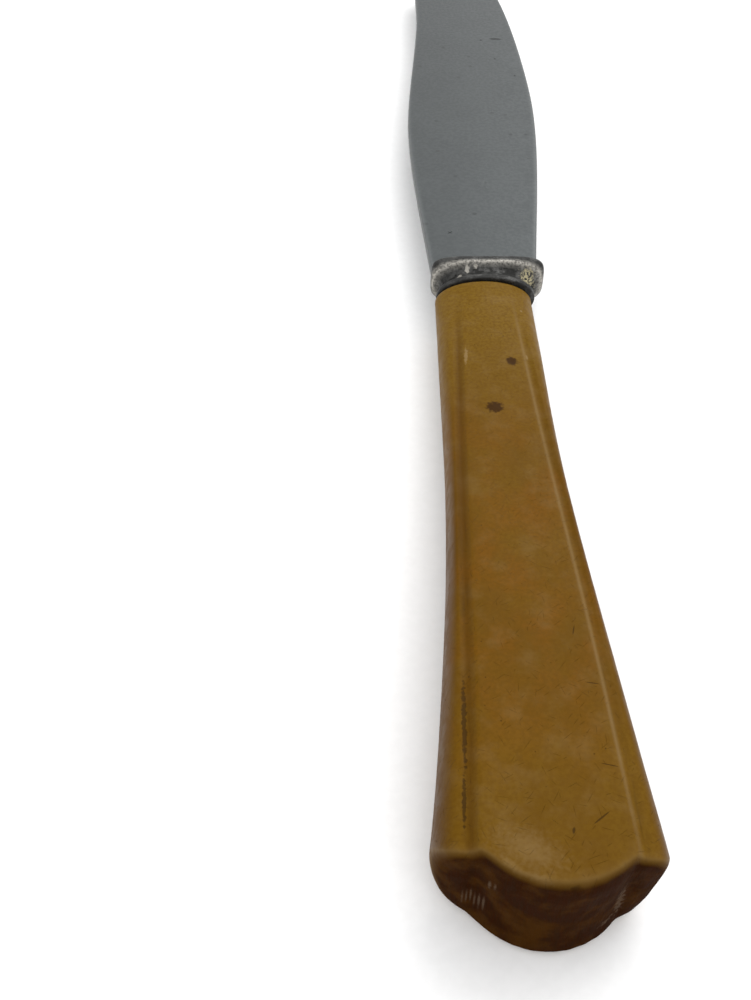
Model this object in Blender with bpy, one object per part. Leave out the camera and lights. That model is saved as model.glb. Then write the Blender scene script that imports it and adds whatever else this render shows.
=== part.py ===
"""Ink knife: a spatula-like steel blade with a stub tang, a cast collar and a
fluted cast-resin handle.

The knife lies flat, with its length along +Y, its spine towards -X and its edge towards +X.
The origin is under the middle of its length and of its width, on the surface that it lies
on. Sizes below are millimetres, measured along the knife from the butt of the handle, and
across it from the handle's centreline, which the blade's broad edge side leaves a little
towards -X of the middle. The middle plane of the knife is z = 0 in them, and the centring
empty lifts and centres everything.
"""

import math

import bmesh
import bpy
from mathutils import Vector
from mathutils.geometry import interpolate_bezier

MM = 0.001

# Driving dimensions, millimetres
OVERALL_LENGTH = 223.0
MIDDLE_X = 1.5
HANDLE_LENGTH = 90.4
GAP = 0.3

NECK_HALF_WIDTH = 6.92
NECK_HALF_THICKNESS = 3.6
BUTT_EXTRA_WIDTH = 3.44
BUTT_HALF_THICKNESS = 7.0
FLARE_LENGTH = 59.0
FLARE_POWER = 0.72
BUTT_PAD_LENGTH = 13.0
SWELL_LENGTH = 60.0

PANEL_HALF_WIDTH = 3.1
PANEL_EXTRA_WIDTH = 3.4
FLUTE_WIDTH = 1.4
FLUTE_DEPTH = 0.25
NECK_LEDGE_DROP = 0.3
BUTT_LEDGE_DROP = 0.9
SIDE_SQUARENESS = 2.2
FLUTES_FADE_FROM = 72.0
BUTT_EDGE_RADIUS = 0.95
CORNER_RADIUS = 1.6
FRONT_EDGE_RADIUS = 0.8

LOBE_RADIUS = 8.3
LOBE_OFFSET = 0.3
CORNER_LOBE_X = 7.7
CORNER_LOBE_OFFSET = 0.25
CORNER_LOBE_Y = 2.7
CORNER_LEAN = 0.04
CORNER_LOBE_RADIUS = 6.5
NOTCH_SOFTNESS = 0.27
LOWER_CUT = 2.05
LOWER_CUT_FROM = 5.5
SCALLOP_REACH = 19.0
STATION_POWER = 1.35

BORE_RADIUS = 2.6
BORE_BOTTOM = 27.0
CEMENT_RADIUS = BORE_RADIUS - GAP
CEMENT_BOTTOM = BORE_BOTTOM + GAP
CEMENT_TOP = HANDLE_LENGTH - 0.5

COLLAR_START = HANDLE_LENGTH + GAP
COLLAR_END = 96.1
RING_OFFSET = 0.4
LIP_OFFSET = 1.0

TANG_END = 31.0
TANG_HALF_WIDTH = 1.35
TANG_END_HALF_WIDTH = 0.95
TANG_HALF_THICKNESS = 0.7
TANG_END_HALF_THICKNESS = 0.55

BLADE_START = COLLAR_END + GAP
STOCK_HALF_THICKNESS = 0.85
TIP_HALF_THICKNESS = 0.6
EDGE_HALF_THICKNESS = 0.22
GRIND_FRACTION = 0.45

COLLECTION = "ink_knife"
CUTTERS = "cutters"


def clear_scene():
    """Take away whatever the file opened with."""
    for item in list(bpy.data.objects):
        bpy.data.objects.remove(item, do_unlink=True)


def new_collection(name):
    """A collection of the given name, linked to the scene."""
    collection = bpy.data.collections.new(name)
    bpy.context.scene.collection.children.link(collection)
    return collection


def new_material(name, colour, roughness, metallic):
    """A Principled BSDF with one colour."""
    material = bpy.data.materials.new(name)
    material.use_nodes = True
    shader = material.node_tree.nodes["Principled BSDF"]
    shader.inputs["Base Color"].default_value = (*colour, 1.0)
    shader.inputs["Roughness"].default_value = roughness
    shader.inputs["Metallic"].default_value = metallic
    material.diffuse_color = (*colour, 1.0)
    return material


def add_object(name, mesh, collection, parent, material=None):
    """Link a mesh as a named object on the knife's centring empty."""
    item = bpy.data.objects.new(name, mesh)
    collection.objects.link(item)
    item.parent = parent
    if material:
        mesh.materials.append(material)
        mesh.shade_smooth()
        mesh.set_sharp_from_angle(angle=math.radians(35))
    return item


def loft(name, rings, strip_first=False):
    """A closed mesh through rings of points, given in millimetres.

    Each end is one flat face. With strip_first, the first end is a wall of upright strips
    instead, for an end whose outline isn't flat.
    """
    shape = bmesh.new()
    loops = [[shape.verts.new(point * MM) for point in ring] for ring in rings]
    count = len(loops[0])
    for near, far in zip(loops, loops[1:]):
        for i in range(count):
            j = (i + 1) % count
            shape.faces.new((near[i], near[j], far[j], far[i]))
    if strip_first:
        for i in range(1, count // 2 - 1):
            shape.faces.new((loops[0][i], loops[0][i + 1], loops[0][-i - 1], loops[0][-i]))
        shape.faces.new((loops[0][0], loops[0][1], loops[0][-1]))
        middle = count // 2
        shape.faces.new((loops[0][middle - 1], loops[0][middle], loops[0][middle + 1]))
    else:
        shape.faces.new(loops[0])
    shape.faces.new(loops[-1])
    bmesh.ops.recalc_face_normals(shape, faces=shape.faces)
    mesh = bpy.data.meshes.new(name)
    shape.to_mesh(mesh)
    shape.free()
    return mesh


def cut(target, cutter):
    """Subtract a cutter from a piece with an exact Boolean."""
    modifier = target.modifiers.new("cut_" + cutter.name, "BOOLEAN")
    modifier.operation = "DIFFERENCE"
    modifier.object = cutter
    modifier.solver = "EXACT"


def as_cutter(item):
    """Show a guide as wires only and keep it out of renders."""
    item.hide_render = True
    item.display_type = "WIRE"
    return item


def ease(start, end, y):
    """1 at start, falling smoothly to 0 at end."""
    t = min(max((y - start) / (end - start), 0.0), 1.0)
    return 0.5 + 0.5 * math.cos(math.pi * t)


# ---------------------------------------------------------------- handle


def flare(y):
    """How far the handle's plan has opened: 1 at the butt, 0 along the neck."""
    t = min(max(y / FLARE_LENGTH, 0.0), 1.0) ** FLARE_POWER
    return 0.5 + 0.5 * math.cos(math.pi * t)


def half_width(y):
    """Half the handle's width."""
    return NECK_HALF_WIDTH + BUTT_EXTRA_WIDTH * flare(y)


def half_thickness(y):
    """Half the handle's thickness: level over the butt pad, then easing to the neck."""
    swell = ease(BUTT_PAD_LENGTH, BUTT_PAD_LENGTH + SWELL_LENGTH, y)
    return NECK_HALF_THICKNESS + (BUTT_HALF_THICKNESS - NECK_HALF_THICKNESS) * swell


def arc_rise(across, radius):
    """How far an arc of this radius has risen at this distance from its lowest point."""
    across = min(across, radius)
    return radius - math.sqrt(radius ** 2 - across ** 2)


def scallop(x, z):
    """How far the butt's end stands back at a point of its wall.

    One broad lobe stands between two corner lobes, the left one further back than the
    right one. The plan's corners are rounded, and the two lower ones are cut back further.
    """
    lobe = arc_rise(abs(x - LOBE_OFFSET), LOBE_RADIUS)
    off_corner = abs(x - CORNER_LOBE_OFFSET) - CORNER_LOBE_X
    corner = CORNER_LOBE_Y - CORNER_LEAN * x + off_corner ** 2 / (2.0 * CORNER_LOBE_RADIUS)
    total = math.exp(-lobe / NOTCH_SOFTNESS) + math.exp(-corner / NOTCH_SOFTNESS)
    rounding = arc_rise(max(abs(x) - half_width(0.0) + CORNER_RADIUS, 0.0), CORNER_RADIUS)
    outward = 1.0 - ease(LOWER_CUT_FROM, half_width(0.0), abs(x))
    lower = LOWER_CUT * outward * 0.5 * (1.0 - z / BUTT_HALF_THICKNESS)
    return rounding + lower - NOTCH_SOFTNESS * math.log(total)


def quarter_section(y):
    """Points from the middle of the top panel out to the handle's side, as (x, z)."""
    flute_steps = 5
    side_steps = 8
    width = half_width(y)
    thickness = half_thickness(y)
    open_to = flare(y)
    panel = PANEL_HALF_WIDTH + PANEL_EXTRA_WIDTH * (1.0 - y / HANDLE_LENGTH)
    drop = NECK_LEDGE_DROP + (BUTT_LEDGE_DROP - NECK_LEDGE_DROP) * open_to
    ledge_x = panel + FLUTE_WIDTH
    points = [(panel * i / 3.0, thickness) for i in range(3)]
    for i in range(flute_steps):
        t = i / flute_steps
        dip = FLUTE_DEPTH * math.sin(math.pi * t) + drop * t
        points.append((panel + FLUTE_WIDTH * t, thickness - dip))
    for i in range(side_steps + 1):
        angle = 0.5 * math.pi * i / side_steps
        across = math.sin(angle) ** (2.0 / SIDE_SQUARENESS)
        up = max(math.cos(angle), 0.0) ** (2.0 / SIDE_SQUARENESS)
        points.append((ledge_x + (width - ledge_x) * across, (thickness - drop) * up))
    fluted = ease(FLUTES_FADE_FROM, HANDLE_LENGTH, y)
    section = []
    for x, z in points:
        oval = thickness * math.sqrt(max(1.0 - (x / width) ** 2, 0.0))
        section.append((x, oval + (z - oval) * fluted))
    section[-1] = (width, 0.0)
    return section


def closed_ring(quarter, place):
    """A closed section from a quarter of it, from the +X side and over the top."""
    over = quarter[::-1] + [(-x, z) for x, z in quarter[1:]]
    under = [(x, -z) for x, z in over[1:-1]][::-1]
    return [place(x, z) for x, z in over + under]


def handle_ring(y, inset=0.0):
    """A section along the handle, drawn in by an inset."""
    shrink_x = 1.0 - inset / half_width(y)
    shrink_z = 1.0 - inset / half_thickness(y)

    def place(x, z):
        inner = Vector((x * shrink_x, y, z * shrink_z))
        return inner + Vector((0.0, stand_back(inner), 0.0))

    return closed_ring(quarter_section(y), place)


def stand_back(point):
    """How far the scallop pushes a point forward: fully at the butt, fading along it."""
    return scallop(point.x, point.z) * max(1.0 - point.y / SCALLOP_REACH, 0.0) ** 2


def handle_rings():
    """The handle's sections, with both ends rounded over."""
    butt_steps = 5
    front_steps = 3
    stations = 18
    first = BUTT_EDGE_RADIUS
    last = HANDLE_LENGTH - FRONT_EDGE_RADIUS
    rings = []
    for i in range(butt_steps):
        angle = 0.5 * math.pi * i / butt_steps
        rings.append(handle_ring(first * (1.0 - math.cos(angle)), first * (1.0 - math.sin(angle))))
    for i in range(stations + 1):
        rings.append(handle_ring(first + (last - first) * (i / stations) ** STATION_POWER))
    for i in range(1, front_steps + 1):
        angle = 0.5 * math.pi * i / front_steps
        inset = FRONT_EDGE_RADIUS * (1.0 - math.cos(angle))
        rings.append(handle_ring(last + FRONT_EDGE_RADIUS * math.sin(angle), inset))
    return rings


def rod(name, radius, start, end, collection, parent, material=None):
    """A round bar along the knife."""
    shape = bmesh.new()
    length = end - start
    bmesh.ops.create_cone(
        shape, cap_ends=True, segments=24, radius1=radius * MM, radius2=radius * MM,
        depth=length * MM)
    mesh = bpy.data.meshes.new(name)
    shape.to_mesh(mesh)
    shape.free()
    item = add_object(name, mesh, collection, parent, material)
    item.rotation_euler = (math.radians(-90.0), 0.0, 0.0)
    item.location = (0.0, 0.5 * (start + end) * MM, 0.0)
    return item


def build_handle(parts, cutters, parent):
    """The moulded handle, with its blind bore for the tang."""
    resin = new_material("cast_resin", (0.32, 0.17, 0.035), 0.32, 0.0)
    mesh = loft("handle", handle_rings(), strip_first=True)
    handle = add_object("handle", mesh, parts, parent, resin)
    bore = rod("bore_cutter", BORE_RADIUS, BORE_BOTTOM, HANDLE_LENGTH + 2.0, cutters, parent)
    cut(handle, as_cutter(bore))


# ---------------------------------------------------------------- collar


def oval_ring(y, half_x, half_z, squareness, centre):
    """A superellipse section, from its +X side and over the top."""
    steps = 40
    power = 2.0 / squareness
    ring = []
    for i in range(steps):
        angle = 2.0 * math.pi * i / steps
        x = math.copysign(abs(math.cos(angle)) ** power, math.cos(angle))
        z = math.copysign(abs(math.sin(angle)) ** power, math.sin(angle))
        ring.append(Vector((centre + half_x * x, y, half_z * z)))
    return ring


def build_collar(parts, cutters, parent):
    """The cast collar: a narrow ring at the handle, a cove and a squared lip at the blade."""
    ring_y = COLLAR_START
    lip_y = COLLAR_END
    profile = (
        (ring_y, 6.95, 3.6, 2.1),
        (ring_y + 0.2, 7.15, 3.8, 2.1),
        (ring_y + 0.9, 7.15, 3.8, 2.1),
        (ring_y + 1.15, 6.8, 3.45, 2.15),
        (ring_y + 1.6, 6.35, 3.0, 2.2),
        (ring_y + 2.6, 6.3, 2.95, 2.3),
        (lip_y - 2.2, 6.7, 3.15, 2.4),
        (lip_y - 1.7, 7.6, 3.65, 2.6),
        (lip_y - 1.45, 8.05, 3.85, 2.7),
        (lip_y - 1.1, 8.25, 3.9, 3.2),
        (lip_y - 0.3, 8.35, 3.85, 4.6),
        (lip_y, 8.05, 3.55, 4.6),
    )
    rings = []
    for y, half_x, half_z, squareness in profile:
        shift = LIP_OFFSET + (RING_OFFSET - LIP_OFFSET) * ease(ring_y, lip_y, y)
        rings.append(oval_ring(y, half_x, half_z, squareness, shift))
    metal = new_material("collar_metal", (0.13, 0.13, 0.12), 0.42, 0.9)
    collar = add_object("bolster", loft("bolster", rings), parts, parent, metal)
    slot = tang_shape("bolster_slot_cutter", GAP, BLADE_START + 1.0, cutters, parent)
    cut(collar, slot)


# ---------------------------------------------------------------- tang and cement


def tang_half_sizes(y):
    """Half the tang's width and thickness, which taper to its end."""
    t = min(max((y - TANG_END) / (BLADE_START - TANG_END), 0.0), 1.0)
    width = TANG_END_HALF_WIDTH + (TANG_HALF_WIDTH - TANG_END_HALF_WIDTH) * t
    rise = TANG_HALF_THICKNESS - TANG_END_HALF_THICKNESS
    return width, TANG_END_HALF_THICKNESS + rise * t


def tang_ring(y, clearance=0.0):
    """One section of the tang, in the six points that the blade's sections have."""
    width, thickness = tang_half_sizes(y)
    width += clearance
    thickness += clearance
    top = ((width, thickness), (0.0, thickness), (-width, thickness))
    return [Vector((x, y, z)) for x, z in top] + [Vector((x, y, -z)) for x, z in top[::-1]]


def tang_shape(name, clearance, end, cutters, parent):
    """A cutter the shape of the tang, larger by a clearance."""
    start_ring = tang_ring(TANG_END, clearance)
    start = [Vector((p.x, TANG_END - clearance, p.z)) for p in start_ring]
    mesh = loft(name, (start, tang_ring(end, clearance)))
    return as_cutter(add_object(name, mesh, cutters, parent))


def build_cement(parts, cutters, parent):
    """The cement that fills the bore around the tang."""
    cement = new_material("tang_cement", (0.28, 0.2, 0.12), 0.8, 0.0)
    filling = rod(
        "tang_cement", CEMENT_RADIUS, CEMENT_BOTTOM, CEMENT_TOP, parts, parent, cement)
    cut(filling, tang_shape("cement_slot_cutter", GAP, HANDLE_LENGTH + 2.0, cutters, parent))


# ---------------------------------------------------------------- blade


# Outline knots as (x, y, handle x, handle y): a knot and the way its curve leaves it
SPINE_KNOTS = (
    (-7.2, BLADE_START, -1.2, 16.0),
    (-9.9, 141.8, 0.0, 14.0),
    (-7.3, 193.0, 0.0, 13.0),
    (-6.6, 221.0, 1.0, 1.6),
)
EDGE_KNOTS = (
    (8.35, BLADE_START, 1.4, 15.0),
    (13.35, 156.0, 0.0, 20.0),
    (9.0, 211.3, -2.6, 5.0),
    (-3.0, OVERALL_LENGTH, -2.4, 0.1),
)


def outline(knots, steps):
    """Points along a chain of Bezier curves through the knots."""
    points = []
    for start, end in zip(knots, knots[1:]):
        first = Vector(start[:2])
        last = Vector(end[:2])
        leave = first + Vector(start[2:])
        arrive = last - Vector(end[2:])
        points += interpolate_bezier(first, leave, arrive, last, steps + 1)[:-1]
    points.append(Vector(knots[-1][:2]))
    return points


def stock_half_thickness(y):
    """Half the blade's thickness at the spine, thinner towards the tip."""
    t = (y - BLADE_START) / (OVERALL_LENGTH - BLADE_START)
    return STOCK_HALF_THICKNESS + (TIP_HALF_THICKNESS - STOCK_HALF_THICKNESS) * t


def blade_ring(spine, edge):
    """A wedge section across the blade: stock thickness, then the grind to the edge."""
    grind = spine.lerp(edge, GRIND_FRACTION)
    top = (
        (edge, EDGE_HALF_THICKNESS),
        (grind, stock_half_thickness(grind.y)),
        (spine, stock_half_thickness(spine.y)),
    )
    upper = [Vector((point.x, point.y, z)) for point, z in top]
    return upper + [Vector((p.x, p.y, -p.z)) for p in upper[::-1]]


def build_blade(parts, parent):
    """The forged blade with its tang."""
    steps = 12
    spine = outline(SPINE_KNOTS, steps)
    edge = outline(EDGE_KNOTS, steps)
    rings = [tang_ring(TANG_END), tang_ring(BLADE_START)]
    rings += [blade_ring(back, front) for back, front in zip(spine, edge)]
    steel = new_material("blade_steel", (0.19, 0.2, 0.2), 0.38, 1.0)
    add_object("blade", loft("blade", rings), parts, parent, steel)


def main():
    clear_scene()
    parts = new_collection(COLLECTION)
    cutters = new_collection(CUTTERS)
    centring = bpy.data.objects.new("knife_centring", None)
    middle = Vector((MIDDLE_X, 0.5 * OVERALL_LENGTH, -BUTT_HALF_THICKNESS))
    centring.location = -middle * MM
    parts.objects.link(centring)
    build_blade(parts, centring)
    build_collar(parts, cutters, centring)
    build_handle(parts, cutters, centring)
    build_cement(parts, cutters, centring)


main()
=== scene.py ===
"""Ink knife: the finished handle, collar and blade of a hand knife, built around its frame.

The knife lies flat. Inside this file a place on it is (x, y, z) from the butt's middle: x across
from the handle's centreline, y along from the butt to the tip, z up from the middle plane.
The frame says where that point is, how long each piece is and how thick.
"""

import math

import bmesh
import bpy
import numpy as np
from bpy.props import FloatProperty, FloatVectorProperty, PointerProperty
from bpy.types import Operator, Panel, PropertyGroup
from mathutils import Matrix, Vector, noise


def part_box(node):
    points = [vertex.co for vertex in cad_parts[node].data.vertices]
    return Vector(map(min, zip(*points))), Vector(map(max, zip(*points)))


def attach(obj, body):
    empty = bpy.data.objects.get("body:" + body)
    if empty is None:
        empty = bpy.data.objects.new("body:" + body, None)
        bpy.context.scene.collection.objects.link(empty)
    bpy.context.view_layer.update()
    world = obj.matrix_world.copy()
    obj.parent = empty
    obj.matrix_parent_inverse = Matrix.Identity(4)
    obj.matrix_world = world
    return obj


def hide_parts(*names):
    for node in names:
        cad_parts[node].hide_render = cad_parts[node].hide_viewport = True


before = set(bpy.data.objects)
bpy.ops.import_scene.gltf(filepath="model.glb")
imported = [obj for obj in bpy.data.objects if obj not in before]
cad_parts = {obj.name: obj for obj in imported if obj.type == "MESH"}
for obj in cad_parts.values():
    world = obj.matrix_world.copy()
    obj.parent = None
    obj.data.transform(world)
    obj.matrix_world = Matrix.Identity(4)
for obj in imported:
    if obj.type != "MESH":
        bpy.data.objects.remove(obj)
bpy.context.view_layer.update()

bl_info = {
    "name": "Ink knife",
    "version": (1, 0, 0),
    "blender": (4, 5, 0),
    "location": "3D View > Sidebar > Ink Knife",
    "description": "Builds a fluted resin handle, cast collar and steel blade on their frame",
    "category": "Object",
}

MM = 0.001
HANDLE_LOW, HANDLE_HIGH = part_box("handle")
COLLAR_LOW, COLLAR_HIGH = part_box("bolster")
BLADE_LOW, BLADE_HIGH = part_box("blade")
ORIGIN = Vector((
    0.5 * (HANDLE_LOW.x + HANDLE_HIGH.x), HANDLE_LOW.y, 0.5 * (HANDLE_LOW.z + HANDLE_HIGH.z)))
HANDLE_LENGTH = HANDLE_HIGH.y - ORIGIN.y
COLLAR_START = COLLAR_LOW.y - ORIGIN.y
COLLAR_END = COLLAR_HIGH.y - ORIGIN.y
OVERALL_LENGTH = BLADE_HIGH.y - ORIGIN.y
BUTT_HALF_WIDTH = 0.5 * (HANDLE_HIGH.x - HANDLE_LOW.x)
BUTT_HALF_THICKNESS = 0.5 * (HANDLE_HIGH.z - HANDLE_LOW.z)
LAID_ALONG = (math.radians(-90.0), 0.0, 0.0)
TOUCHING = 0.01 * MM


# ---------------------------------------------------------------- sizes and colours


def length(name, description, millimetres):
    """A length that a user may change."""
    return FloatProperty(
        name=name, description=description, default=millimetres * MM, unit="LENGTH",
        subtype="DISTANCE", precision=5)


def number(name, description, value):
    """A plain number."""
    return FloatProperty(name=name, description=description, default=value, min=0.0, max=10.0)


def colour(name, description, value):
    """A linear colour."""
    return FloatVectorProperty(
        name=name, description=description, default=value, size=3, min=0.0, max=1.0,
        subtype="COLOR")


class HandleSizes(PropertyGroup):
    """The fluted handle, from its neck to its scalloped butt."""

    neck_half_width: length("Neck half width", "Half the width at the collar", 6.92)
    neck_half_thickness: length("Neck half thickness", "Half the height at the collar", 3.6)
    flare_length: length("Flare length", "How far the widening runs from the butt", 59.0)
    flare_power: number("Flare power", "How early the widening starts", 0.72)
    pad_length: length("Pad length", "How far the butt keeps its full thickness", 13.0)
    swell_length: length("Swell length", "How far the thickness takes to reach the neck's", 60.0)
    panel_half_width: length("Panel half width", "Half the flat panel at the neck", 3.1)
    panel_extra_width: length("Panel extra width", "What the panel gains by the butt", 3.4)
    panel_crown: length("Panel crown", "How much the panel bulges", 0.12)
    flute_width: length("Flute width", "From the panel's edge to the side bead", 1.4)
    flute_depth: length("Flute depth", "How deep the flute is hollowed", 0.25)
    neck_ledge_drop: length("Neck ledge drop", "The bead's step down at the neck", 0.3)
    butt_ledge_drop: length("Butt ledge drop", "The bead's step down at the butt", 0.9)
    side_squareness: number("Side squareness", "How square the handle's side is", 2.2)
    flutes_fade_from: length("Flutes fade from", "Where the flutes start to die out", 72.0)
    butt_edge_radius: length("Butt edge radius", "Rounding around the end", 0.95)
    corner_radius: length("Corner radius", "Rounding of the end's corners in plan", 1.6)
    front_edge_radius: length("Front edge radius", "Rounding at the collar", 0.8)
    lobe_radius: length("Lobe radius", "The end's broad middle lobe", 8.3)
    lobe_offset: length("Lobe offset", "How far the lobe sits off the centreline", 0.3)
    corner_lobe_x: length("Corner lobe x", "Where the corner lobes stand", 7.7)
    corner_lobe_offset: length("Corner lobe offset", "The corner lobes' shared shift", 0.25)
    corner_lobe_y: length("Corner lobe y", "How far the corner lobes stand back", 2.7)
    corner_lean: number("Corner lean", "How much further back the left one stands", 0.04)
    corner_lobe_radius: length("Corner lobe radius", "The corner lobes' roundness", 6.5)
    notch_softness: length("Notch softness", "How softly lobe and corner meet", 0.27)
    lower_cut: length("Lower cut", "How much further back the lower corners are cut", 2.05)
    lower_cut_from: length("Lower cut from", "Where that cut starts across the end", 5.5)
    scallop_reach: length("Scallop reach", "How far the notches run along the handle", 19.0)
    bore_radius: length("Bore radius", "The hole for the tang", 2.6)
    bore_depth: length("Bore depth", "How deep the hole for the tang is", 63.4)
    ageing: length("Ageing", "How far wear has moved the surface", 0.035)


class CollarSizes(PropertyGroup):
    """The cast collar between handle and blade."""

    ring_offset: length("Ring offset", "How far the ring sits off the centreline", 0.4)
    lip_offset: length("Lip offset", "How far the lip sits off the centreline", 1.0)
    slot_half_width: length("Slot half width", "Half the tang's slot across", 1.65)
    slot_half_height: length("Slot half height", "Half the tang's slot in height", 1.0)
    pitting: length("Pitting", "How deep the casting is pitted", 0.09)


class BladeSizes(PropertyGroup):
    """The forged blade and its tang."""

    stock_half: length("Stock half thickness", "Half the thickness at the heel", 0.85)
    tip_half: length("Tip half thickness", "Half the thickness at the tip", 0.6)
    edge_half: length("Edge half thickness", "Half the thickness of the blunt edge", 0.22)
    edge_round: length("Edge round", "How far the rounding of the edges stands out", 0.22)
    tang_end: length("Tang end", "Where the tang ends inside the handle", 31.0)
    tang_half_width: length("Tang half width", "Half the tang's width", 1.3)
    tang_half_height: length("Tang half height", "Half the tang's thickness", 0.65)


class Finish(PropertyGroup):
    """Colours and gloss of the knife's materials."""

    resin: colour("Resin", "The cast resin where it is clean", (0.124, 0.062, 0.0045))
    resin_dark: colour("Dark resin", "The resin's darker clouds", (0.098, 0.045, 0.0025))
    # Red resin also serves as painted shade in the left-hand flute.
    resin_red: colour("Red resin", "Handled resin along the sides", (0.060, 0.023, 0.0014))
    resin_warm: colour("Warm resin", "The redder middle of the handle", (0.142, 0.055, 0.0028))
    resin_pale: colour("Pale resin", "The yellower neck", (0.158, 0.088, 0.0085))
    # Butt brown is partly painted shade: the end wall darkened where it faces away from the
    # light.
    butt_brown: colour("Butt brown", "The unpolished end of the handle", (0.022, 0.0052, 0.0003))
    grime: colour("Grime", "Dirt in hollows and scratches", (0.014, 0.0065, 0.0020))
    stain: colour("Stain", "Two burnt spots on the handle", (0.026, 0.0085, 0.0010))
    # Worn resin also serves as the painted highlight on the right-hand ledge and on the butt's
    # rim.
    worn: colour("Worn resin", "Rubbed and chipped resin", (0.22, 0.145, 0.060))
    steel: colour("Steel", "The blade", (0.052, 0.0575, 0.0585))
    # Bright steel serves the scratches and the painted highlight along the blade's rims.
    steel_bright: colour("Bright steel", "Scratches and rubbed rims", (0.15, 0.157, 0.157))
    white_metal: colour("White metal", "The collar where it is rubbed", (0.060, 0.0595, 0.057))
    bare_metal: colour("Bare metal", "Fresh knocks in the collar", (0.38, 0.36, 0.32))
    ridge: colour("Ridge", "The collar's polished ridge", (0.42, 0.40, 0.36))
    oxide: colour("Oxide", "The collar where it is dark", (0.012, 0.012, 0.011))
    deposit: colour("Deposit", "Pale corrosion in the collar's cove", (0.34, 0.30, 0.18))
    scraped: colour("Scraped butt", "Tool marks on the end", (0.105, 0.072, 0.048))
    cement: colour("Cement", "The cement around the tang", (0.10, 0.06, 0.03))


# ---------------------------------------------------------------- small tools


def ease(start, end, y):
    """1 at start, falling smoothly to 0 at end."""
    t = np.clip((y - start) / (end - start), 0.0, 1.0)
    return 0.5 + 0.5 * np.cos(np.pi * t)


def points_of(mesh):
    """The mesh's vertices as points on the knife."""
    found = np.empty(len(mesh.vertices) * 3)
    mesh.vertices.foreach_get("co", found)
    return found.reshape(-1, 3) - np.array(ORIGIN)


def move_points(mesh, points):
    """Put the mesh's vertices at these points on the knife."""
    mesh.vertices.foreach_set("co", (np.asarray(points, float) + np.array(ORIGIN)).ravel())
    mesh.update()


def normals_of(mesh):
    """The way each vertex faces."""
    return np.array([vert.normal for vert in mesh.vertices])


def paint(mesh, name, values):
    """Store one number for each vertex, for the materials to read."""
    layer = mesh.attributes.get(name) or mesh.attributes.new(name, "FLOAT", "POINT")
    layer.data.foreach_set("value", np.asarray(values, np.float32))


def painted(mesh, name):
    """The numbers that were stored under this name."""
    values = np.empty(len(mesh.vertices), np.float32)
    mesh.attributes[name].data.foreach_get("value", values)
    return values


def bell(distance, spread):
    """1 at no distance, fading evenly to both sides."""
    return np.exp(-(distance / spread) ** 2)


def deselect():
    """Leave nothing selected, so that a new primitive is alone."""
    bpy.ops.object.select_all(action="DESELECT")


def start_piece(name):
    """Name the primitive that was just added and put its place in its mesh."""
    piece = bpy.context.object
    piece.name = name
    piece.data.name = name
    bpy.ops.object.transform_apply(location=True, rotation=True, scale=True)
    return piece


def open_mesh(piece, mode):
    """Go into edit mode with nothing selected, and return the mesh being edited."""
    bpy.context.view_layer.objects.active = piece
    bpy.ops.object.mode_set(mode="EDIT")
    bpy.ops.mesh.select_mode(type=mode)
    bpy.ops.mesh.select_all(action="DESELECT")
    return bmesh.from_edit_mesh(piece.data)


def pick(piece, elements, test):
    """Select those of the mesh's vertices, edges or faces that pass the test."""
    shape = bmesh.from_edit_mesh(piece.data)
    for item in getattr(shape, elements):
        if test(item):
            item.select = True
    shape.select_flush_mode()
    bmesh.update_edit_mesh(piece.data)


def picked_vertices(shape):
    """The vertices of the selected faces."""
    return {vert for face in shape.faces if face.select for vert in face.verts}


def close_mesh():
    """Point every face outwards and leave edit mode."""
    bpy.ops.mesh.select_all(action="SELECT")
    bpy.ops.mesh.normals_make_consistent(inside=False)
    bpy.ops.object.mode_set(mode="OBJECT")


def apply_modifier(piece, kind, **settings):
    """Work a modifier with these settings into the piece for good."""
    modifier = piece.modifiers.new(kind.lower(), kind)
    for key, value in settings.items():
        setattr(modifier, key, value)
    deselect()
    piece.select_set(True)
    bpy.context.view_layer.objects.active = piece
    bpy.ops.object.modifier_apply(modifier=modifier.name)


def smooth_over(piece, levels):
    """Subdivide the piece into a smooth surface."""
    apply_modifier(piece, "SUBSURF", levels=levels, render_levels=levels)
    bpy.ops.object.shade_smooth()


def squared_oval(turn, half_x, half_z, squareness):
    """Points of a superellipse at these turns from the top towards +x."""
    power = 2.0 / squareness
    x = np.sign(np.sin(turn)) * np.abs(np.sin(turn)) ** power * half_x
    z = np.sign(np.cos(turn)) * np.abs(np.cos(turn)) ** power * half_z
    return x, z


def ripple(place_mm, size):
    """Smooth noise from -1 to 1 at a place in millimetres."""
    return noise.noise(Vector(place_mm) / size)


def hand_over(piece, node, material):
    """Give a finished piece its material and put it on the frame."""
    piece.data.materials.clear()
    piece.data.materials.append(material)
    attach(piece, "root")
    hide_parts(node)


# ---------------------------------------------------------------- handle

PANEL_STEPS = 12
FLUTE_STEPS = 10
SIDE_STEPS = 12
AROUND = 4 * (PANEL_STEPS + FLUTE_STEPS + SIDE_STEPS)
LEDGE_STEP = PANEL_STEPS + 2.5
HOLLOW_STEP = PANEL_STEPS + 0.5 * FLUTE_STEPS
WALL_ROWS = 14
BUTT_RINGS = 9
LONG_RINGS = 104
FRONT_RINGS = 5
RINGS = BUTT_RINGS + LONG_RINGS + FRONT_RINGS
RING_CROWDING = 1.2


def flare(s, y):
    """How far the handle's plan has opened: 1 at the butt, 0 along the neck."""
    t = np.clip(y / s.flare_length, 0.0, 1.0) ** s.flare_power
    return 0.5 + 0.5 * np.cos(np.pi * t)


def half_width(s, y):
    """Half the handle's width."""
    return s.neck_half_width + (BUTT_HALF_WIDTH - s.neck_half_width) * flare(s, y)


def half_thickness(s, y):
    """Half the handle's thickness: level over the butt pad, then easing to the neck."""
    swell = ease(s.pad_length, s.pad_length + s.swell_length, y)
    return s.neck_half_thickness + (BUTT_HALF_THICKNESS - s.neck_half_thickness) * swell


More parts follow.
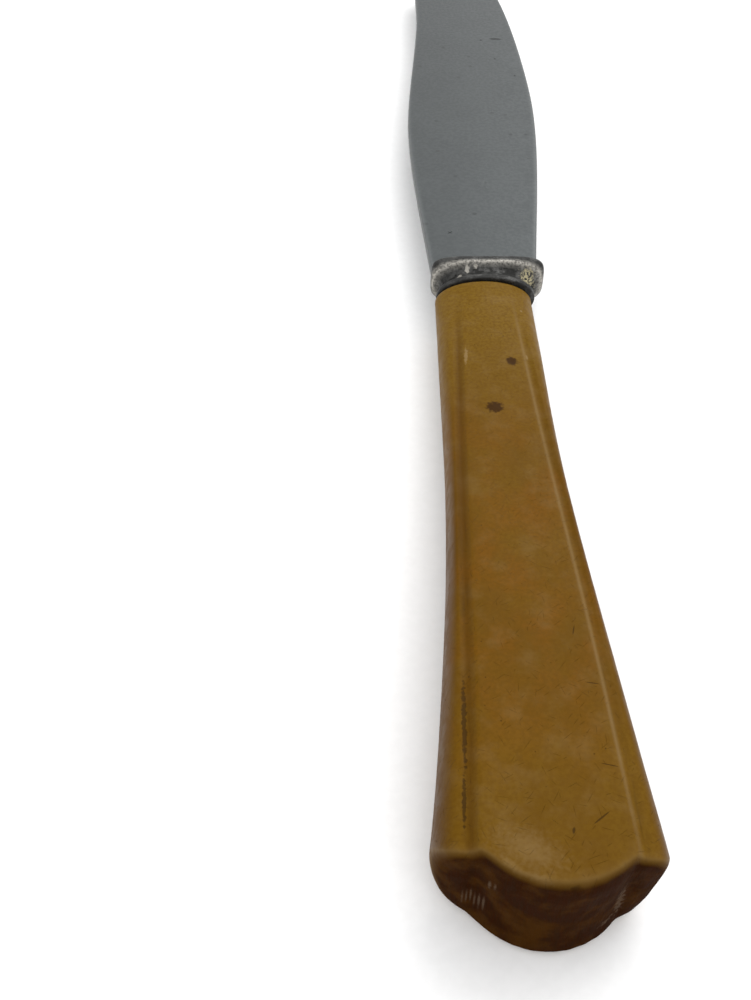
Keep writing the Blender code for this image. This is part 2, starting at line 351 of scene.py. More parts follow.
def fluting(s, y):
    """1 where the flutes are whole, falling to 0 at the collar."""
    return float(ease(s.flutes_fade_from, HANDLE_LENGTH, y))


def arc_rise(across, radius):
    """How far an arc of this radius has risen at this distance from its lowest point."""
    across = np.clip(across, 0.0, 0.999 * radius)
    return radius - np.sqrt(radius ** 2 - across ** 2)


def scallop(s, x, z):
    """How far the butt's end stands back at points of its wall.

    One broad lobe stands between two corner lobes, the left one further back than the
    right one. The plan's corners are rounded, and the two lower ones are cut back further.
    """
    lobe = arc_rise(np.abs(x - s.lobe_offset), s.lobe_radius)
    off_corner = np.abs(x - s.corner_lobe_offset) - s.corner_lobe_x
    corner = s.corner_lobe_y - s.corner_lean * x + off_corner ** 2 / (2.0 * s.corner_lobe_radius)
    total = np.exp(-lobe / s.notch_softness) + np.exp(-corner / s.notch_softness)
    rounding = arc_rise(np.abs(x) - BUTT_HALF_WIDTH + s.corner_radius, s.corner_radius)
    outward = 1.0 - ease(s.lower_cut_from, BUTT_HALF_WIDTH, np.abs(x))
    lower = s.lower_cut * outward * 0.5 * (1.0 - z / BUTT_HALF_THICKNESS)
    return rounding + lower - s.notch_softness * np.log(total)


def stand_back(s, x, y, z):
    """How far the scallop pushes a point forward: fully at the butt, fading along it."""
    return scallop(s, x, z) * np.maximum(1.0 - y / s.scallop_reach, 0.0) ** 2


def quarter_section(s, y):
    """From the middle of the top panel, over the flute, to the handle's side."""
    width = float(half_width(s, y))
    thickness = float(half_thickness(s, y))
    opened = float(flare(s, y))
    panel = s.panel_half_width + s.panel_extra_width * (1.0 - y / HANDLE_LENGTH)
    drop = s.neck_ledge_drop + (s.butt_ledge_drop - s.neck_ledge_drop) * opened
    bead_x = panel + s.flute_width
    t = np.arange(PANEL_STEPS) / PANEL_STEPS
    panel_x, panel_z = panel * t, thickness - s.panel_crown * t ** 2
    t = np.arange(FLUTE_STEPS) / FLUTE_STEPS
    flute_x = panel + s.flute_width * t
    dip = s.flute_depth * np.sin(np.pi * t) + (drop - s.panel_crown) * t
    flute_z = thickness - s.panel_crown - dip
    angle = 0.5 * np.pi * np.arange(SIDE_STEPS + 1) / SIDE_STEPS
    side_x, side_z = squared_oval(angle, width - bead_x, thickness - drop, s.side_squareness)
    side_x += bead_x
    x = np.concatenate((panel_x, flute_x, side_x))
    z = np.concatenate((panel_z, flute_z, side_z))
    oval = thickness * np.sqrt(np.maximum(1.0 - (x / width) ** 2, 0.0))
    z = oval + (z - oval) * fluting(s, y)
    z[-1] = 0.0
    return x, z


def whole_section(s, y):
    """The closed section from the top's middle, by way of +x, as two arrays."""
    x, z = quarter_section(s, y)
    half_x = np.concatenate((x, x[-2::-1]))
    half_z = np.concatenate((z, -z[-2::-1]))
    return (np.concatenate((half_x, -half_x[-2:0:-1])),
            np.concatenate((half_z, half_z[-2:0:-1])))


def handle_ring(s, ring):
    """One ring of the handle's skin, counted from the butt, as points on the knife."""
    last = HANDLE_LENGTH - s.front_edge_radius
    inset = 0.0
    if ring < BUTT_RINGS:
        angle = 0.5 * math.pi * ring / BUTT_RINGS
        inset = s.butt_edge_radius * (1.0 - math.sin(angle))
        y = s.butt_edge_radius * (1.0 - math.cos(angle))
    elif ring <= BUTT_RINGS + LONG_RINGS:
        along = ((ring - BUTT_RINGS) / LONG_RINGS) ** RING_CROWDING
        y = s.butt_edge_radius + (last - s.butt_edge_radius) * along
    else:
        angle = 0.5 * math.pi * (ring - BUTT_RINGS - LONG_RINGS) / FRONT_RINGS
        inset = s.front_edge_radius * (1.0 - math.cos(angle))
        y = last + s.front_edge_radius * math.sin(angle)
    x, z = whole_section(s, y)
    x = x * (1.0 - inset / float(half_width(s, y)))
    z = z * (1.0 - inset / float(half_thickness(s, y)))
    return np.stack((x, y + stand_back(s, x, y, z), z), axis=1)


def handle_blank(s):
    """A tube the size of the handle, cut into as many rings as the carving needs."""
    middle = ORIGIN + Vector((0.0, 0.5 * HANDLE_LENGTH, 0.0))
    deselect()
    bpy.ops.mesh.primitive_cylinder_add(
        vertices=AROUND, radius=s.neck_half_width, depth=HANDLE_LENGTH,
        end_fill_type="NOTHING", location=middle, rotation=LAID_ALONG)
    blank = start_piece("handle_resin")
    open_mesh(blank, "EDGE")
    pick(blank, "edges", lambda e: abs(e.verts[0].co.y - e.verts[1].co.y) > 0.5 * HANDLE_LENGTH)
    bpy.ops.mesh.subdivide(number_cuts=RINGS - 1)
    bpy.ops.object.mode_set(mode="OBJECT")
    return blank


def carve_handle(handle, s):
    """Move every point of the blank onto the fluted, flared section, and note its end wall, butt
    edge, flute hollows and ledge.
    """
    local = points_of(handle.data)
    ring = np.rint(local[:, 1] / HANDLE_LENGTH * RINGS).astype(int)
    turn = np.arctan2(local[:, 0], local[:, 2]) / (2.0 * math.pi) * AROUND
    around = np.rint(turn).astype(int) % AROUND
    skin = np.stack([handle_ring(s, i) for i in range(RINGS + 1)])
    move_points(handle.data, skin[ring, around])
    fold = np.abs((around + AROUND // 4) % (AROUND // 2) - AROUND // 4)
    quarter = np.where(fold > AROUND // 4, AROUND // 2 - fold, fold)
    flutes = np.array([fluting(s, y) for y in skin[:, 0, 1]])[ring]
    edge_ring = BUTT_RINGS - 2.5
    paint(handle.data, "side_of_skin", np.ones(len(ring)))
    paint(handle.data, "wall", np.clip(1.15 - ring / edge_ring, 0.0, 1.0))
    # The butt_edge mask: where the rounded edge of the end gets wear and a painted highlight.
    paint(handle.data, "butt_edge", bell(ring - edge_ring, 2.0))
    # The hollow mask: dirt in both flutes, and painted shade in the left-hand one.
    paint(handle.data, "hollow", bell(quarter - HOLLOW_STEP, 3.2) * flutes)
    # The ledge mask marks where the right-hand ledge gets its painted highlight.
    paint(handle.data, "ledge", bell(quarter - LEDGE_STEP, 1.6) * flutes)


def close_butt(handle, s):
    """Fill the butt with an upright grid and hollow it to the scalloped end."""
    shape = open_mesh(handle, "VERT")
    columns = AROUND // 2 - WALL_ROWS
    corner = ORIGIN + Vector(handle_ring(s, 0)[columns // 2])
    rim = [v for v in shape.verts if v.is_boundary and v.co.y < ORIGIN.y + 0.5 * HANDLE_LENGTH]
    for vert in rim:
        vert.select = True
    start = min(rim, key=lambda v: (v.co - corner).length)
    shape.select_history.clear()
    shape.select_history.add(start)
    shape.select_flush_mode()
    bmesh.update_edit_mesh(handle.data)
    bpy.ops.mesh.fill_grid(span=columns, offset=0)
    bpy.ops.object.mode_set(mode="OBJECT")
    end = painted(handle.data, "side_of_skin") < 0.5
    local = points_of(handle.data)
    local[end, 1] = stand_back(s, local[end, 0], 0.0, local[end, 2])
    move_points(handle.data, local)
    paint(handle.data, "wall", np.where(end, 1.0, painted(handle.data, "wall")))


def bore_handle(handle, s):
    """Close the front with a face, sink the bore for the tang into it and round its rim."""
    open_mesh(handle, "EDGE")
    pick(handle, "edges", lambda e: e.is_boundary)
    bpy.ops.mesh.edge_face_add()
    bpy.ops.mesh.inset(thickness=s.front_edge_radius)
    bpy.ops.mesh.select_mode(type="FACE")
    shape = bmesh.from_edit_mesh(handle.data)
    for vert in picked_vertices(shape):
        out = Vector((vert.co.x - ORIGIN.x, 0.0, vert.co.z - ORIGIN.z)).normalized()
        rim = ORIGIN + out * s.bore_radius
        vert.co.x, vert.co.z = rim.x, rim.z
    bmesh.update_edit_mesh(handle.data)
    bpy.ops.mesh.extrude_region_move(
        TRANSFORM_OT_translate={"value": (0.0, -s.bore_depth, 0.0)})
    close_mesh()


def age_handle(handle, s):
    """Wear the moulded skin: low waves over it, nicks in the butt's edge, pulled hollows."""
    local = points_of(handle.data) / MM
    wall, edge = painted(handle.data, "wall"), painted(handle.data, "butt_edge")
    moves = np.zeros(len(local))
    for i, point in enumerate(local):
        waves = 0.5 * ripple(point, 5.0) + 0.3 * ripple(point + 31.0, 1.7)
        nicks = min(ripple(point + 57.0, 0.9) + 0.1, 0.0) * 1.6 * edge[i]
        scraped = (ripple(point * (1.0, 1.0, 0.25), 0.8) - 0.4) * 1.3 * wall[i]
        moves[i] = waves + nicks + scraped
    bore = (np.hypot(local[:, 0], local[:, 2]) < s.bore_radius / MM + 0.2) & (wall < 0.5)
    moves[bore] = 0.0
    moves = np.minimum(moves, 0.0) * s.ageing
    worn = local * MM + normals_of(handle.data) * moves[:, None]
    worn[:, 1] = np.maximum(worn[:, 1], 0.0)
    move_points(handle.data, worn)


# ---------------------------------------------------------------- collar

COLLAR_AROUND = 96


def collar_profile():
    """Stations along the collar, as (y, half width, half height, squareness) in millimetres."""
    ring = COLLAR_START / MM
    lip = COLLAR_END / MM
    return (
        (ring - 0.24, 6.95, 3.62, 2.1),
        (ring - 0.14, 7.1, 3.75, 2.1),
        (ring + 0.25, 7.18, 3.82, 2.1),
        (ring + 0.75, 7.12, 3.78, 2.1),
        (ring + 1.0, 6.85, 3.5, 2.15),
        (ring + 1.5, 6.4, 3.05, 2.2),
        (ring + 2.5, 6.3, 2.95, 2.3),
        (lip - 2.2, 6.7, 3.15, 2.4),
        (lip - 1.75, 7.6, 3.62, 2.6),
        (lip - 1.52, 8.05, 3.87, 2.7),
        (lip - 1.35, 8.2, 3.9, 2.9),
        (lip - 0.9, 8.3, 3.88, 3.6),
        (lip - 0.25, 8.35, 3.84, 4.6),
        (lip - 0.08, 8.28, 3.76, 4.6),
        (lip, 8.1, 3.6, 4.6),
    )


def collar_blank(stations):
    """A short bar drawn out station by station from the handle to the blade."""
    depth = (stations[1][0] - stations[0][0]) * MM
    middle = ORIGIN + Vector((0.0, stations[0][0] * MM + 0.5 * depth, 0.0))
    deselect()
    bpy.ops.mesh.primitive_cylinder_add(
        vertices=COLLAR_AROUND, radius=stations[0][1] * MM, depth=depth,
        location=middle, rotation=LAID_ALONG)
    blank = start_piece("bolster_casting")
    front = ORIGIN.y + stations[1][0] * MM
    open_mesh(blank, "FACE")
    pick(blank, "faces", lambda f: all(abs(v.co.y - front) < TOUCHING for v in f.verts))
    for near, far in zip(stations[1:], stations[2:]):
        step = (far[0] - near[0]) * MM
        bpy.ops.mesh.extrude_region_move(TRANSFORM_OT_translate={"value": (0.0, step, 0.0)})
        grow = far[1] / near[1]
        bpy.ops.transform.resize(value=(grow, 1.0, grow), center_override=tuple(ORIGIN))
    bpy.ops.object.mode_set(mode="OBJECT")
    return blank


def shape_collar(collar, s, stations):
    """Turn the round stations into ovals that square up towards the blade."""
    local = points_of(collar.data)
    levels = np.array([station[0] for station in stations]) * MM
    nearest = np.abs(local[:, 1:2] - levels[None, :]).argmin(axis=1)
    turn = np.arctan2(local[:, 0], local[:, 2])
    for i, (y, half_x, half_z, squareness) in enumerate(stations):
        here = nearest == i
        x, z = squared_oval(turn[here], half_x * MM, half_z * MM, squareness)
        towards_ring = float(ease(levels[0], levels[-1], y * MM))
        shift = s.lip_offset + (s.ring_offset - s.lip_offset) * towards_ring
        local[here] = np.stack((x + shift, np.full_like(x, y * MM), z), axis=1)
    move_points(collar.data, local)
    ridge = levels[-6]
    valley = 0.5 * (levels[5] + levels[7])
    paint(collar.data, "ridge", bell(local[:, 1] - ridge, 0.22 * MM))
    paint(collar.data, "cove", bell(local[:, 1] - valley, 1.1 * MM))


def slot_collar(collar, s):
    """Open a slot for the tang from one flat face of the collar to the other."""
    levels = points_of(collar.data)[:, 1] + ORIGIN.y
    low, high = levels.min(), levels.max()

    def is_end(face):
        near, far = min(v.co.y for v in face.verts), max(v.co.y for v in face.verts)
        return far < low + TOUCHING or near > high - TOUCHING

    open_mesh(collar, "FACE")
    pick(collar, "faces", is_end)
    for level in (low, high):
        bpy.ops.mesh.select_all(action="DESELECT")
        pick(collar, "faces", lambda f: is_end(f) and abs(f.verts[0].co.y - level) < TOUCHING)
        bpy.ops.mesh.inset(thickness=0.35 * MM)
        shape = bmesh.from_edit_mesh(collar.data)
        picked = picked_vertices(shape)
        centre = sum(v.co.x for v in picked) / len(picked)
        for vert in picked:
            turn = math.atan2(vert.co.x - centre, (vert.co.z - ORIGIN.z) * 2.0)
            x, z = squared_oval(turn, s.slot_half_width, s.slot_half_height, 7.0)
            vert.co.x, vert.co.z = ORIGIN.x + x, ORIGIN.z + z
        bmesh.update_edit_mesh(collar.data)
    bpy.ops.mesh.select_all(action="DESELECT")
    pick(collar, "faces", lambda f: is_end(f) and len(f.verts) > 4)
    bpy.ops.mesh.bridge_edge_loops()
    close_mesh()


def pit_collar(collar, s):
    """Roughen the casting: pits in the cove and small dents on the lip."""
    local = points_of(collar.data) / MM
    cove = painted(collar.data, "cove")
    moves = np.zeros(len(local))
    for i, point in enumerate(local):
        coarse = ripple(point + 11.0, 1.3)
        fine = ripple(point + 47.0, 0.5)
        moves[i] = min(0.8 * coarse + 0.5 * fine - 0.15, 0.25) * (0.25 + cove[i])
    slot = np.abs(local[:, 2]) < s.slot_half_height / MM + 0.2
    slot &= np.abs(local[:, 0]) < s.slot_half_width / MM + 0.2
    moves[slot] = 0.0
    depth = (moves * s.pitting)[:, None]
    move_points(collar.data, local * MM + normals_of(collar.data) * depth)


# ---------------------------------------------------------------- blade

HEEL = COLLAR_END + 0.02 * MM
BLADE_ROWS = 150
BLADE_COLUMNS = 26
EDGE_STEPS = 6
ROW_CROWDING = 1.05


def blade_outlines():
    """The back and the edge of the blade as (x, y, handle x, handle y) knots in millimetres."""
    heel = HEEL / MM
    back = (
        (-7.2, heel, -1.2, 16.0),
        (-9.9, 141.8, 0.0, 14.0),
        (-7.3, 193.0, 0.0, 13.0),
        (-6.6, 221.0, 1.0, 1.6),
    )
    edge = (
        (8.35, heel, 1.4, 15.0),
        (13.35, 156.0, 0.0, 20.0),
        (9.0, 211.3, -2.6, 5.0),
        (-3.0, OVERALL_LENGTH / MM, -2.4, 0.1),
    )
    return back, edge


def follow(knots, shares):
    """Points at these shares of the way along a chain of Bezier curves."""
    points = []
    spans = len(knots) - 1
    for value in shares:
        span = min(int(value * spans), spans - 1)
        t = value * spans - span
        start, end = knots[span], knots[span + 1]
        a, d = np.array(start[:2]), np.array(end[:2])
        b, c = a + np.array(start[2:]), d - np.array(end[2:])
        points.append(
            (1 - t) ** 3 * a + 3 * (1 - t) ** 2 * t * b + 3 * (1 - t) * t ** 2 * c + t ** 3 * d)
    return np.array(points) * MM


def blade_blank():
    """A bar the size of the blade's box, cut into rows, columns and a few upright steps."""
    size = BLADE_HIGH - BLADE_LOW
    size.y = OVERALL_LENGTH - HEEL
    middle = 0.5 * (BLADE_LOW + BLADE_HIGH)
    middle.y = ORIGIN.y + HEEL + 0.5 * size.y
    deselect()
    bpy.ops.mesh.primitive_cube_add(size=1.0, location=middle, scale=size)
    blank = start_piece("blade_steel")
    open_mesh(blank, "EDGE")
    for axis, cuts in ((1, BLADE_ROWS - 1), (0, BLADE_COLUMNS - 1), (2, EDGE_STEPS - 1)):
        bpy.ops.mesh.select_all(action="DESELECT")
        reach = 0.9 * size[axis]
        pick(blank, "edges", lambda e: abs(e.verts[0].co[axis] - e.verts[1].co[axis]) > reach)
        bpy.ops.mesh.subdivide(number_cuts=cuts)
    bpy.ops.object.mode_set(mode="OBJECT")
    return blank


def forge_blade(blade, s):
    """Draw the bar out to the blade's outline, grind it towards the edge and round its rims."""
    local = points_of(blade.data)
    low, high = local.min(axis=0), local.max(axis=0)
    part = (local - low) / (high - low)
    back_knots, edge_knots = blade_outlines()
    rows = np.rint(part[:, 1] * BLADE_ROWS).astype(int)
    shares = (np.arange(BLADE_ROWS + 1) / BLADE_ROWS) ** ROW_CROWDING
    back = follow(back_knots, shares)[rows]
    edge = follow(edge_knots, shares)[rows]
    across = 0.5 - 0.5 * np.cos(np.pi * part[:, 0])
    along = edge - back
    reach = np.linalg.norm(along, axis=1)
    outward = along / reach[:, None]
    flat = back + outward * (s.edge_round + (reach - 2 * s.edge_round) * across)[:, None]
    taper = (flat[:, 1] - COLLAR_END) / (OVERALL_LENGTH - COLLAR_END)
    stock = s.stock_half + (s.tip_half - s.stock_half) * taper
    grind = np.clip((across - 0.35) / 0.65, 0.0, 1.0) ** 1.6
    half = stock + (s.edge_half - stock) * grind
    lean = (part[:, 2] - 0.5) * np.pi
    height = np.sin(lean) * half
    bulge = np.cos(lean) * s.edge_round
    on_back, on_edge = part[:, 0] < 0.001, part[:, 0] > 0.999
    flat -= outward * (bulge * on_back)[:, None]
    flat += outward * (bulge * on_edge)[:, None]
    local = np.stack((flat[:, 0], flat[:, 1], height), axis=1)
    tip = part[:, 1] > 0.999
    local[tip, 1] = np.minimum(local[tip, 1] + 0.5 * bulge[tip], OVERALL_LENGTH)
    move_points(blade.data, local)
    # The rim mask marks where the steel gets its painted highlight.
    rim = bell(reach * np.minimum(across, 1.0 - across), 0.32 * MM)
    paint(blade.data, "rim", np.maximum(rim, np.where(tip, 1.0, 0.0)))


def weld_tang(blade, s):
    """Join a tapering tang onto the blade's heel."""
    start = COLLAR_END + 1.0 * MM
    size = Vector((2 * s.tang_half_width, start - s.tang_end, 2 * s.tang_half_height))
    middle = ORIGIN + Vector((0.0, 0.5 * (start + s.tang_end), 0.0))
    deselect()
    bpy.ops.mesh.primitive_cube_add(size=1.0, location=middle, scale=size)
    tang = start_piece("tang")
    open_mesh(tang, "FACE")
    pick(tang, "faces", lambda f: f.normal.y < -0.9)
    bpy.ops.transform.resize(value=(0.72, 1.0, 0.8), center_override=tuple(ORIGIN))
    close_mesh()
    apply_modifier(blade, "BOOLEAN", operation="UNION", object=tang, solver="EXACT")
    bpy.data.objects.remove(tang)


# ---------------------------------------------------------------- shader groups


class Sheet:
    """Places nodes in one tree, left to right, and joins their sockets."""

    def __init__(self, tree):
        self.tree = tree
        self.across = 0

    def add(self, kind, feeds=None, **settings):
        """A node with these settings, its inputs fed by name or number."""
        node = self.tree.nodes.new(kind)
        node.location = (self.across, -60.0 * (len(self.tree.nodes) % 5))
        self.across += 170
        for key, value in settings.items():
            setattr(node, key, value)
        for key, value in (feeds or {}).items():
            self.feed(node.inputs[key], value)
        return node

    def feed(self, socket, value):
        """Link an output to the socket, or set the socket to a plain value."""
        if isinstance(value, bpy.types.NodeSocket):
            self.tree.links.new(value, socket)
        elif socket.type == "RGBA":
            socket.default_value = (*value[:3], 1.0)
        else:
            socket.default_value = value

    def maths(self, operation, first, second=0.0, clamp=False):
        """One number worked out from one or two others."""
        node = self.add("ShaderNodeMath", {0: first, 1: second}, operation=operation)
        node.use_clamp = clamp
        return node.outputs[0]

    def times(self, first, *others):
        """The product of several masks or numbers."""
        for other in others:
            first = self.maths("MULTIPLY", first, other)
        return first

    def vector_maths(self, operation, first, second=(0.0, 0.0, 0.0)):
        """A place, or a length, worked out from one or two places."""
        node = self.add("ShaderNodeVectorMath", {0: first, 1: second}, operation=operation)
        return node.outputs["Value" if operation == "LENGTH" else "Vector"]

    def turned(self, place, angle):
        """A place turned about the upright axis."""
        node = self.add(
            "ShaderNodeVectorRotate", {"Vector": place, "Angle": angle}, rotation_type="Z_AXIS")
        return node.outputs[0]

    def ramp(self, value, low, high, to_low=0.0, to_high=1.0):
        """The value between low and high, spread smoothly from to_low to to_high."""
        feeds = {"Value": value, 1: low, 2: high, 3: to_low, 4: to_high}
        node = self.add("ShaderNodeMapRange", feeds, interpolation_type="SMOOTHSTEP")
        return node.outputs["Result"]

    def mix(self, amount, first, second):
        """One colour over another by an amount."""
        feeds = {0: amount, 6: first, 7: second}
        return self.add("ShaderNodeMix", feeds, data_type="RGBA").outputs[2]

    def attribute(self, name):
        """The numbers painted on the mesh under this name."""
        return self.add("ShaderNodeAttribute", attribute_name=name).outputs["Fac"]

    def cells(self, place, scale):
        """Scattered cells: the distance to each one's middle, that place, and three draws."""
        node = self.add("ShaderNodeTexVoronoi", {"Vector": place, "Scale": scale})
        draws = self.add("ShaderNodeSeparateColor", {0: node.outputs["Color"]}).outputs
        return node.outputs["Distance"], node.outputs["Position"], draws


def new_group(name, **inputs):
    """An empty shader group that takes a place and these inputs and gives a mask."""
    tree = bpy.data.node_groups.new(name, "ShaderNodeTree")
    for key, value in {"place": (0.0, 0.0, 0.0), **inputs}.items():
        kind = "NodeSocketVector" if isinstance(value, tuple) else "NodeSocketFloat"
        socket = tree.interface.new_socket(socket_name(key), in_out="INPUT", socket_type=kind)
        socket.default_value = value
    tree.interface.new_socket("Mask", in_out="OUTPUT", socket_type="NodeSocketFloat")
    sheet = Sheet(tree)
    return sheet, sheet.add("NodeGroupInput").outputs


def socket_name(key):
    """The name on a group's input, such as Half Size for half_size."""
    return key.replace("_", " ").title()


def build_clouds_group():
    """Soft patches of a given size, stretched along any axis."""
    sheet, given = new_group(
        "clouds", stretch=(1.0, 1.0, 1.0), size=5.0, detail=4.0, low=0.35, high=0.65)
    stretched = sheet.vector_maths("DIVIDE", given["Place"], given["Stretch"])
    scale = sheet.maths("DIVIDE", 1.0, given["Size"])
    clouds = sheet.add("ShaderNodeTexNoise", {
        "Vector": stretched, "Scale": scale, "Detail": given["Detail"], "Roughness": 0.6})
    mask = sheet.ramp(clouds.outputs[0], given["Low"], given["High"])
    sheet.add("NodeGroupOutput", {0: mask})


def build_hairlines_group():
    """Fine straight scratches, a share of the cells having one, all near one direction."""
    sheet, given = new_group(
        "hairlines", angle=0.0, length=2.0, spacing=1.2, width=0.03, spread=0.8, share=0.3)
    turned = sheet.turned(given["Place"], given["Angle"])
    cell = sheet.add("ShaderNodeCombineXYZ", {
        0: given["Length"], 1: given["Spacing"], 2: given["Length"]}).outputs[0]
    _, middle, draws = sheet.cells(sheet.vector_maths("DIVIDE", turned, cell), 1.0)
    offset = sheet.vector_maths("SUBTRACT", turned, sheet.vector_maths("MULTIPLY", middle, cell))
    swing = sheet.times(sheet.maths("SUBTRACT", draws[1], 0.5), given["Spread"])
    reach = sheet.times(given["Length"], sheet.ramp(draws[2], 0.0, 1.0, 0.15, 0.5))
    shape = sheet.add("ShaderNodeCombineXYZ", {
        0: reach, 1: given["Width"], 2: 1000.0}).outputs[0]
    sized = sheet.vector_maths("DIVIDE", sheet.turned(offset, swing), shape)
    line = sheet.ramp(sheet.vector_maths("LENGTH", sized), 0.3, 1.0, 1.0, 0.0)
    chosen = sheet.maths("LESS_THAN", draws[0], given["Share"])
    sheet.add("NodeGroupOutput", {0: sheet.times(line, chosen)})


def build_specks_group():
    """Small round pits or specks, a share of the cells having one."""
    sheet, given = new_group("specks", spacing=1.0, radius=0.12, share=0.3)
    scale = sheet.maths("DIVIDE", 1.0, given["Spacing"])
    distance, _, draws = sheet.cells(given["Place"], scale)
    core = sheet.times(given["Radius"], 0.4)
    dot = sheet.ramp(distance, core, given["Radius"], 1.0, 0.0)
    chosen = sheet.maths("LESS_THAN", draws[0], given["Share"])
    sheet.add("NodeGroupOutput", {0: sheet.times(dot, chosen)})


def build_mark_group():
    """One stain, scratch or chip: a ragged ellipsoid around a place."""
    sheet, given = new_group(
        "mark", centre=(0.0, 0.0, 0.0), half_size=(1.0, 1.0, 1.0), angle=0.0, ragged=0.3,
        soft=0.5)
    from_centre = sheet.vector_maths("SUBTRACT", given["Place"], given["Centre"])
    turned = sheet.turned(from_centre, sheet.times(given["Angle"], -1.0))
    sized = sheet.vector_maths("DIVIDE", turned, given["Half Size"])
    grain = sheet.add("ShaderNodeTexNoise", {
        "Vector": given["Place"], "Scale": 2.6, "Detail": 3.0}).outputs[0]
    push = sheet.times(sheet.maths("SUBTRACT", grain, 0.5), given["Ragged"], 4.0)
    ragged = sheet.maths("ADD", sheet.vector_maths("LENGTH", sized), push)
    inner = sheet.maths("SUBTRACT", 1.1, given["Soft"])
    sheet.add("NodeGroupOutput", {0: sheet.ramp(ragged, inner, 1.1, 1.0, 0.0)})


def build_groups():
    """The effects that several materials share."""
    build_clouds_group()
    build_hairlines_group()
    build_specks_group()
    build_mark_group()


class Coat(Sheet):
    """A material being painted: its shader, its base colour so far, and places in mm."""

    def __init__(self, name, base):
        self.material = bpy.data.materials.new(name)
        self.material.use_nodes = True
        self.material.diffuse_color = (*base, 1.0)
        super().__init__(self.material.node_tree)
        self.shader = self.tree.nodes["Principled BSDF"]
        self.where = self.add("ShaderNodeMapping", {
            "Vector": self.add("ShaderNodeTexCoord").outputs["Object"],
            "Location": -ORIGIN / MM, "Scale": (1 / MM, 1 / MM, 1 / MM)}).outputs[0]
        self.tint = base

    def effect(self, name, **values):
        """A shared group laid over the knife with its own values."""
        node = self.add("ShaderNodeGroup", node_tree=bpy.data.node_groups[name])
        for key, value in {"place": self.where, **values}.items():
            self.feed(node.inputs[socket_name(key)], value)
        return node.outputs[0]

    def marks(self, marks, soft=0.5):
        """A list of marks as one mask. A mark is (centre, half size, degrees, ragged)."""
        mask = 0.0
        for centre, half_size, degrees, ragged in marks:
            one = self.effect(
                "mark", centre=centre, half_size=half_size, angle=math.radians(degrees),
                ragged=ragged, soft=soft)
            mask = self.maths("MAXIMUM", one, mask)
        return mask

    def glaze(self, mask, amount, tone):
        """Another colour over the base colour, where the mask is, by an amount."""
        self.tint = self.mix(self.times(mask, amount), self.tint, tone)

    def finish(self, roughness, relief, strength, depth):
        """Join colour, roughness and relief to the shader. The depth is in millimetres."""
        bump = self.add("ShaderNodeBump", {
            "Height": relief, "Strength": strength, "Distance": depth * MM})
        self.feed(self.shader.inputs["Base Color"], self.tint)
        self.feed(self.shader.inputs["Roughness"], roughness)
        self.feed(self.shader.inputs["Normal"], bump.outputs[0])
        return self.material


def toned(tone, factor):
    """A colour made lighter or darker."""
    return tuple(channel * factor for channel in tone)


# ---------------------------------------------------------------- materials


def cloud_resin(coat, look, y, grain):
    """The resin's own colours: dark clouds, a yellow neck, a redder middle, fine grain."""
    coat.glaze(coat.effect("clouds", size=7.0, stretch=(1.0, 2.2, 1.0)), 0.65, look.resin_dark)
    coat.glaze(coat.ramp(y, 56.0, 84.0), 0.8, look.resin_pale)
    warm = coat.effect("clouds", size=6.0, stretch=(1.0, 1.5, 1.0), low=0.38, high=0.66)
    middle = coat.times(coat.ramp(y, 72.0, 46.0), coat.ramp(y, 4.0, 24.0))
    coat.glaze(coat.times(warm, middle), 0.7, look.resin_warm)
    coat.glaze(grain, 0.6, look.resin_dark)
    coat.glaze(coat.effect("clouds", size=3.0, detail=5.0, low=0.45, high=0.75), 0.16, look.worn)


def soil_and_shade_sides(coat, look, x, y):
    """Redden the outer sides towards the butt, lay dirt streaks in the flutes, paint shade into
    the left-hand flute and paint a highlight along the right-hand ledge.
    """
    hollow, ledge = coat.attribute("hollow"), coat.attribute("ledge")
    width = coat.ramp(y, 0.0, 59.0, 9.3, 5.6)
    # The outer sides, made darker and redder towards the butt.
    outer_sides = coat.ramp(coat.maths("SUBTRACT", coat.maths("ABSOLUTE", x), width), -1.3, 0.8)
    towards_butt = coat.ramp(y, 70.0, 25.0)
    coat.glaze(coat.times(outer_sides, towards_butt), 0.75, look.resin_red)
    dirty = coat.effect("clouds", size=1.1, stretch=(0.4, 6.0, 1.0), low=0.45, high=0.85)
    coat.glaze(coat.times(hollow, dirty, towards_butt), 0.4, look.grime)
    right = coat.ramp(x, -1.0, 1.0)
    left = coat.maths("SUBTRACT", 1.0, right)
    # Painted shade: the left-hand flute darkened with red resin, as it faces away from the
    # light.
    coat.glaze(coat.times(hollow, left), 0.5, look.resin_red)
    # Painted highlight: a pale line along the right-hand ledge, where the light from the right
    # would catch it.
    lit = coat.times(ledge, right, coat.ramp(y, 0.0, 16.0, 0.3, 1.0))
    coat.glaze(lit, 0.5, look.worn)


